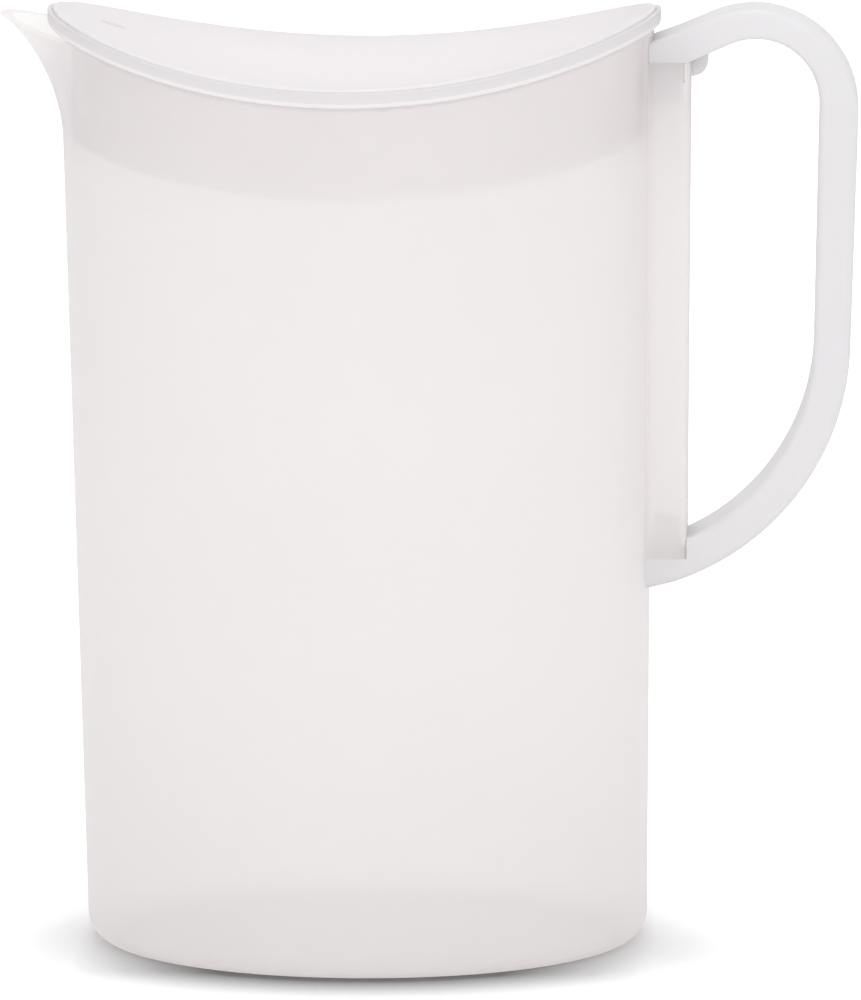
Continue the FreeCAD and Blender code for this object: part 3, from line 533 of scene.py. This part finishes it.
tab_corner = np.array([spine_face(SPINE_HIGH) + 0.25, 190.65])
tab_outline = np.concatenate([[tab_corner + [0, 0.9], tab_corner + [3.4, 2.2]],
                              arc(tab_corner, 3.4, 0, -90, 13)])
plug_outline = [(62.0, 181.6), (67.2, 181.6), (67.35, 191.2), (61.95, 191.2)]
tongue_outline = [(61.2, 83.2), (66.8, 83.2), (66.7, 90.8), (61.4, 90.8)]
for name, outline, half in (("grip_tab", tab_outline, 7.0), ("grip_plug", plug_outline, 9.6),
                            ("grip_tongue", tongue_outline, 9.6)):
    add_piece(name, *block(outline, half, 0.5), "jug", grip_finish, "handle_plastic")

# %% [markdown]
# The lid
# Seen from the side the lid is curved like the rim, because all its saddles share one axis with it. So a
# point of the lid needs only its distance from the middle and its height h above the rim, measured as
# saddle radius 177.3 - h. The profile runs from the middle of the raised panel over its step to the edge
# band, round the band, and down and up the skirt that centres the lid in the mouth.

# %% Columns of the lid
slot_turns = np.radians((np.arange(5) - 2) * 12.0)
half_slot = 2.5 / 61.0
slot_edges = np.sort(np.concatenate([slot_turns - half_slot, slot_turns + half_slot]))
even = np.radians(np.arange(-180, 180, 1.0))
clear_of_slots = np.abs(even[:, None] - slot_edges).min(axis=1) > np.radians(0.35)
in_patch = np.abs(even) < np.radians(5.2)
lid_turns = np.sort(np.concatenate([even[clear_of_slots | in_patch], slot_edges]))
lid_columns = len(lid_turns)

print("columns round the lid:", lid_columns)

# %% The profile of the top
small = np.linspace(0, np.pi / 2, 6)
top_reach = np.concatenate([np.linspace(3, 47.3, 18), np.linspace(47.3, 56.3, 11)[1:],
                            np.linspace(56.3, 63.7, 5)[1:]])
top = np.stack([top_reach, np.full(len(top_reach), 4.2)], axis=-1)
panel_edge = np.stack([63.9 + 0.5 * np.sin(small), 3.7 + 0.5 * np.cos(small)], axis=-1)
# a fine groove between panel and band draws the dark line round the lid
step_foot = np.array([[64.4, 3.3], [64.42, 2.8], [64.48, 2.7], [64.62, 2.7], [64.68, 2.8], [64.7, 3.3]])
band_shoulder = np.stack([65.5 + 0.4 * np.sin(small), 3.0 + 0.4 * np.cos(small)], axis=-1)
band_foot = np.stack([65.5 + 0.4 * np.cos(small), 0.7 - 0.4 * np.sin(small)], axis=-1)
profile = np.concatenate([top, panel_edge, step_foot, band_shoulder, [[65.9, 1.2]], band_foot,
                          [[63.5, 0.3]]])


def lid_rows(reach, height):
    """Rows of the lid's top side: x = -2.8 - r cos, y = -r sin, z = saddle(x, 177.3 - h). The band's radius
    grows by 0.7 mm over 22.5 mm of height, which is its draft."""
    x = SADDLE_AXIS - reach * np.cos(lid_turns)
    z = saddle(x, RIM_SADDLE - height)
    reach = reach - np.where(reach > 65, 0.7 * (207.8 - z) / 22.55, 0)
    x = SADDLE_AXIS - reach * np.cos(lid_turns)
    y = -reach * np.sin(lid_turns)
    return np.stack(np.broadcast_arrays(x, y, saddle(x, RIM_SADDLE - height)), axis=-1)


top_rows = lid_rows(profile[:, :1], profile[:, 1:])

# %% Rows of the skirt
SLOT_SHARES = (0.306, 0.875)


def skirt_rows(share, inwards, height):
    """Rows from the skirt's lower edge, z = 402.5 - sqrt(237^2 - (x + 2.8)^2), at share 0 to the saddle
    that lies height above the rim, at share 1. The skirt stands inwards of the jug's wall."""
    axis = lean(180.0)
    reach = np.full((len(share), lid_columns), wall_radius(180.0) - inwards)
    for _ in range(3):
        x = axis - reach * np.cos(lid_turns)
        low = 402.5 - np.sqrt(237.0 ** 2 - (x - SADDLE_AXIS) ** 2)
        z = low + (saddle(x, RIM_SADDLE - height) - low) * share[:, None]
        reach = wall_radius(z) - inwards
    return np.stack([axis - reach * np.cos(lid_turns), -reach * np.sin(lid_turns), z], axis=-1)


shares = np.unique(np.concatenate([np.linspace(0.03, SLOT_SHARES[0], 5), np.linspace(*SLOT_SHARES, 8),
                                   np.linspace(SLOT_SHARES[1], 1, 4)]))
skirt_out = skirt_rows(shares[::-1], 2.2, 0.3)
skirt_in = skirt_rows(shares, 3.8, 0.3)
edge_turn = np.linspace(0, np.pi, 7)[1:-1, None, None]
edge_drop = (skirt_out[-1:] + skirt_in[:1]) / 2 + (skirt_out[-1:] - skirt_in[:1]) / 2 * np.cos(edge_turn)
edge_drop[..., 2] -= 0.55 * np.sin(edge_turn[..., 0])
under = np.concatenate([[[59.4, 1.6], [58.6, 2.2]],
                        np.stack([np.linspace(56, 3, 12), np.full(12, 2.2)], axis=-1)])
under_rows = lid_rows(under[:, :1], under[:, 1:])
lid_grid = np.concatenate([top_rows, skirt_out, edge_drop, skirt_in, under_rows])
print("lid grid:", lid_grid.shape[:2], "skirt from z", lid_grid[..., 2].min().round(1), "mm")

# %% [markdown]
# Pouring slots and the vent mark
# The skirt has five upright slots towards the spout, and the panel a small round blind recess. A Boolean
# would cut both, but leaves ragged shading. The grid already has columns and rows along the slots' edges,
# so their cells are taken out and short walls join the skirt's two sides. The recess fills a square of
# missing cells with rings that turn from the square into a circle.

# %% Take out the cells and wall up the slots
lid_cells = cells(len(lid_grid), lid_columns)
keep = np.ones(lid_cells.shape[:2], bool)
out_start = len(top_rows)
in_start = out_start + len(skirt_out) + len(edge_drop)
last = len(shares) - 1
low_row, high_row = (int(np.abs(shares - s).argmin()) for s in SLOT_SHARES)


def rim_of(rows_down, columns_across):
    """Grid positions round a block of cells: along its first row, down its last column, and back."""
    r, c = np.asarray(rows_down), np.asarray(columns_across)
    row = np.concatenate([np.full(len(c) - 1, r[0]), r[:-1], np.full(len(c) - 1, r[-1]), r[:0:-1]])
    column = np.concatenate([c[:-1], np.full(len(r) - 1, c[-1]), c[:0:-1], np.full(len(r) - 1, c[0])])
    return row, column


slot_walls = []
for turn in slot_turns:
    left, right = (int(np.abs(lid_turns - turn - side).argmin()) for side in (-half_slot, half_slot))
    across = np.arange(left, right + 1)
    down = out_start + last - np.arange(high_row, low_row - 1, -1)
    row, column = rim_of(down, across)
    mirrored = in_start + last - (row - out_start)
    slot_walls.append(strip(row * lid_columns + column, mirrored * lid_columns + column))
    keep[down[0]:down[-1], left:right] = False
    keep[in_start + low_row:in_start + high_row, left:right] = False
slot_sizes = np.ptp(lid_grid[row, column], axis=0)
print("last slot, mm:", slot_sizes.round(1).tolist())

# %% The vent mark's rings
VENT_X, VENT_DEPTH, PANEL_SADDLE = -54.6, 1.2, RIM_SADDLE - 4.2
patch_rows = np.flatnonzero((top_reach > 47.2) & (top_reach < 56.4))
patch_columns = np.flatnonzero(np.abs(lid_turns) < np.radians(5.2))
row, column = rim_of(patch_rows, patch_columns)
keep[patch_rows[0]:patch_rows[-1], patch_columns[0]:patch_columns[-1]] = False
edge_xy = lid_grid[row, column][:, :2] - [VENT_X, 0]
away = np.hypot(edge_xy[:, 0], edge_xy[:, 1])[:, None]
ring_reach = [away * 0.6 + 1.24, away * 0.25 + 2.33, away * 0 + 3.1, away * 0 + 2.9]
ring_reach += [away * 0 + r for r in (2.76, 2.7, 2.7, 2.68, 2.6, 1.9, 1.0)]
ring_depth = np.array([0, 0, 0, 0, 0.05, 0.2, 0.75, 1.1, VENT_DEPTH, VENT_DEPTH, VENT_DEPTH])
ring_xy = edge_xy / away * np.array(ring_reach) + [VENT_X, 0]
ring_z = saddle(ring_xy[..., 0], PANEL_SADDLE) - ring_depth[:, None]
rings = np.concatenate([ring_xy, ring_z[..., None]], axis=-1)

# %% The lid as a mesh
base = lid_grid.shape[0] * lid_columns
ring_count = len(row)
vent_first = base + np.arange(ring_count)
vent_last = base + (len(rings) - 1) * ring_count + np.arange(ring_count)
poles = base + rings.shape[0] * ring_count + np.arange(3)
pole_points = np.array([[SADDLE_AXIS, 0, saddle(SADDLE_AXIS, PANEL_SADDLE)],
                        [SADDLE_AXIS, 0, saddle(SADDLE_AXIS, PANEL_SADDLE + 2)],
                        [VENT_X, 0, saddle(VENT_X, PANEL_SADDLE) - VENT_DEPTH]])
lid_points = np.concatenate([lid_grid.reshape(-1, 3), rings.reshape(-1, 3), pole_points])
lid_quads = np.concatenate([lid_cells[keep], *slot_walls, strip(row * lid_columns + column, vent_first),
                            cells(len(rings), ring_count, base).reshape(-1, 4)])
lid_fans = np.concatenate([
    fan(np.arange(lid_columns)[::-1], poles[0]),
    fan((len(lid_grid) - 1) * lid_columns + np.arange(lid_columns), poles[1]),
    fan(vent_last, poles[2])])
lid_cover = add_piece("lid_cover", lid_points, lid_quads, lid_fans, "lid", lid_finish, "lid_plastic")
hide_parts("lid")

# %% The lid's faces with painted shade: the edge band and the vent mark's wall
row_of = np.broadcast_to(np.arange(len(lid_grid) - 1)[:, None], keep.shape)[keep]
band_first = len(top) + len(panel_edge)
in_band = (row_of >= band_first - 1) & (row_of < len(profile) - len(band_foot) - 2)
ring_of = np.repeat(np.arange(len(rings) - 1), ring_count)
vent_wall = (ring_depth[ring_of] < 0.7) & (ring_depth[ring_of + 1] > 0.04)
others = len(lid_quads) - len(row_of) - len(ring_of)
painted_shade_faces = np.concatenate([in_band, np.zeros(others, bool), vent_wall, np.zeros(len(lid_fans), bool)])
second_finish(lid_cover, painted_shade_lid_finish, painted_shade_faces)
print("greyer faces:", int(painted_shade_faces.sum()), "of", len(painted_shade_faces))

# %% [markdown]
# The table, the light and the camera
# The picture is a pack shot: white ground, white surround, soft light from all sides and a little more from
# the front. The surround is white only for the camera, in gloss and through clear plastic. As a lamp it is
# weaker, and two large area lamps shape the front. The floor is pale and keeps the shadow under the base,
# and a painted shadow darkens it along the line of contact.

# %% The board's own colour
floor_finish = bpy.data.materials.new("white studio board")
floor_finish.use_nodes = True
floor_tree = floor_finish.node_tree
floor_tree.nodes.clear()
rays = add_node(floor_tree, "ShaderNodeLightPath")
board_place = add_node(floor_tree, "ShaderNodeTexCoord").outputs["Object"]
fibre = add_node(floor_tree, "ShaderNodeTexNoise", Vector=board_place, Scale=1 / 0.004, Detail=2.0)
board_tint = add_node(floor_tree, "ShaderNodeMix", {"data_type": "RGBA"}, _0=fibre.outputs["Fac"],
                      _6=linear("#F6F6F6"), _7=linear("#F2F2F2"))
board = add_node(floor_tree, "ShaderNodeBsdfDiffuse", Color=board_tint.outputs[2])
print("board: colour made of", len(floor_tree.nodes), "nodes")

# %% Painted contact shadow on the board, for the camera's rays
# painted shadow: the board's colour is darkened towards #828282 where ambient occlusion finds the base
# within 24 mm
open_sky = add_node(floor_tree, "ShaderNodeAmbientOcclusion", {"samples": 8}, Distance=0.024)
outside_painted_shadow = add_node(floor_tree, "ShaderNodeMapRange", Value=open_sky.outputs["AO"], From_Min=0.42,
               From_Max=0.97)
# the painted shadow fades with distance along x from the middle, towards both sides in the front view;
# along y it does not fade
board_axes = add_node(floor_tree, "ShaderNodeSeparateXYZ", Vector=board_place)
sideways = add_node(floor_tree, "ShaderNodeMath", {"operation": "ABSOLUTE"}, _0=board_axes.outputs["X"])
painted_shadow_side_fade = add_node(floor_tree, "ShaderNodeMapRange", Value=sideways.outputs[0], From_Min=0.03,
                      From_Max=0.062)
outside_painted_shadow_or_side = add_node(floor_tree, "ShaderNodeMath", {"operation": "MAXIMUM"}, _0=outside_painted_shadow.outputs["Result"],
                       _1=painted_shadow_side_fade.outputs["Result"])
painted_contact_shadow = add_node(floor_tree, "ShaderNodeMix", {"data_type": "RGBA"}, _0=outside_painted_shadow_or_side.outputs[0],
                       _6=linear("#828282"), _7=board_tint.outputs[2])
board_with_painted_shadow = add_node(floor_tree, "ShaderNodeBsdfDiffuse", Color=painted_contact_shadow.outputs[2])

# %% White ground away from the pitcher
# the board is lifted to pure white for the camera by a glow; the glow is none within 61 mm of the middle
# and rises by 92 mm, a painted edge that sets where the shadow near the pitcher fades out
from_foot = add_node(floor_tree, "ShaderNodeVectorMath", {"operation": "LENGTH"}, _0=board_place)
shadow_edge_glow = add_node(floor_tree, "ShaderNodeMapRange", Value=from_foot.outputs["Value"], From_Min=0.061,
                     From_Max=0.092, To_Min=0.0, To_Max=0.35)
far_lift = add_node(floor_tree, "ShaderNodeMapRange", Value=from_foot.outputs["Value"], From_Min=0.09,
                    From_Max=1.5, To_Min=0.0, To_Max=0.4)
lift = add_node(floor_tree, "ShaderNodeMath", {"operation": "ADD"}, _0=shadow_edge_glow.outputs["Result"],
                _1=far_lift.outputs["Result"])
glow = add_node(floor_tree, "ShaderNodeEmission", Color=(1, 1, 1, 1), Strength=lift.outputs[0])
lifted = add_node(floor_tree, "ShaderNodeAddShader", _0=board_with_painted_shadow.outputs[0], _1=glow.outputs[0])
seen = add_node(floor_tree, "ShaderNodeMixShader", _0=rays.outputs["Is Camera Ray"], _1=board.outputs[0],
                _2=lifted.outputs[0])
add_node(floor_tree, "ShaderNodeOutputMaterial", Surface=seen.outputs[0])
print("board: all", len(floor_tree.nodes), "nodes")

# %% The floor
floor_mesh = bpy.data.meshes.new("studio_floor")
floor_corners = np.array([[-1, -1, 0], [1, -1, 0], [1, 1, 0], [-1, 1, 0]]) * 5.0
floor_mesh.from_pydata(floor_corners.tolist(), [], [(0, 1, 2, 3)])
floor_mesh.materials.append(floor_finish)
studio_floor = bpy.data.objects.new("studio_floor", floor_mesh)
bpy.context.scene.collection.objects.link(studio_floor)
print("floor:", np.ptp(floor_corners, axis=0)[:2].tolist(), "m")

# %% Surround
scene = bpy.context.scene
world = bpy.data.worlds.new("white surround")
scene.world = world
world.use_nodes = True
sky = world.node_tree
sky.nodes.clear()
sky_rays = add_node(sky, "ShaderNodeLightPath")
mirror_or_camera = add_node(sky, "ShaderNodeMath", {"operation": "MAXIMUM"},
                            _0=sky_rays.outputs["Is Camera Ray"], _1=sky_rays.outputs["Is Glossy Ray"])
white_for = add_node(sky, "ShaderNodeMath", {"operation": "MAXIMUM"},
                     _0=mirror_or_camera.outputs[0], _1=sky_rays.outputs["Is Transmission Ray"])
# white walls and a dimmer ceiling: the light falls from 0.94 at the horizon to 0.80 from 30 degrees up
direction = add_node(sky, "ShaderNodeTexCoord").outputs["Generated"]
height = add_node(sky, "ShaderNodeSeparateXYZ", Vector=direction)
wall_light = add_node(sky, "ShaderNodeMapRange", Value=height.outputs["Z"], From_Min=0.0, From_Max=0.5,
                      To_Min=0.94, To_Max=0.80)
level = add_node(sky, "ShaderNodeMix", _0=white_for.outputs[0], _2=wall_light.outputs["Result"], _3=1.0)
surround = add_node(sky, "ShaderNodeBackground", Color=(1, 1, 1, 1), Strength=level.outputs[0])
add_node(sky, "ShaderNodeOutputWorld", Surface=surround.outputs[0])

# %% Lamps


def softbox(name, place, aim, size, power):
    """A square area lamp at place that faces aim."""
    lamp = bpy.data.lights.new(name, "AREA")
    lamp.size = size
    lamp.energy = power
    holder = bpy.data.objects.new(name, lamp)
    holder.location = place
    holder.rotation_euler = (Vector(aim) - Vector(place)).to_track_quat("-Z", "Y").to_euler()
    scene.collection.objects.link(holder)
    print(f"{name}: {size} m, {power} W")


softbox("front_softbox", (0.3, -2.3, 1.0), (0, 0, 0.1), 1.4, 13.0)
softbox("top_softbox", (0.0, 0.3, 1.8), (0, 0, 0.0), 0.8, 6.5)

# %% Camera at the photograph's angle
camera_data = bpy.data.cameras.new("camera")
camera_data.sensor_width = 36.0
camera_data.lens = 423.7
camera = bpy.data.objects.new("camera", camera_data)
camera.location = (0.10204, -2.50799, 0.41997)
target = Vector((0.013497, 0.0, 0.094972))
camera.rotation_mode = "QUATERNION"
camera.rotation_quaternion = (target - camera.location).to_track_quat("-Z", "Y")
scene.collection.objects.link(camera)
scene.camera = camera
scene.view_settings.view_transform = "Standard"
print("camera:", round((target - camera.location).length, 2), "m from its target")
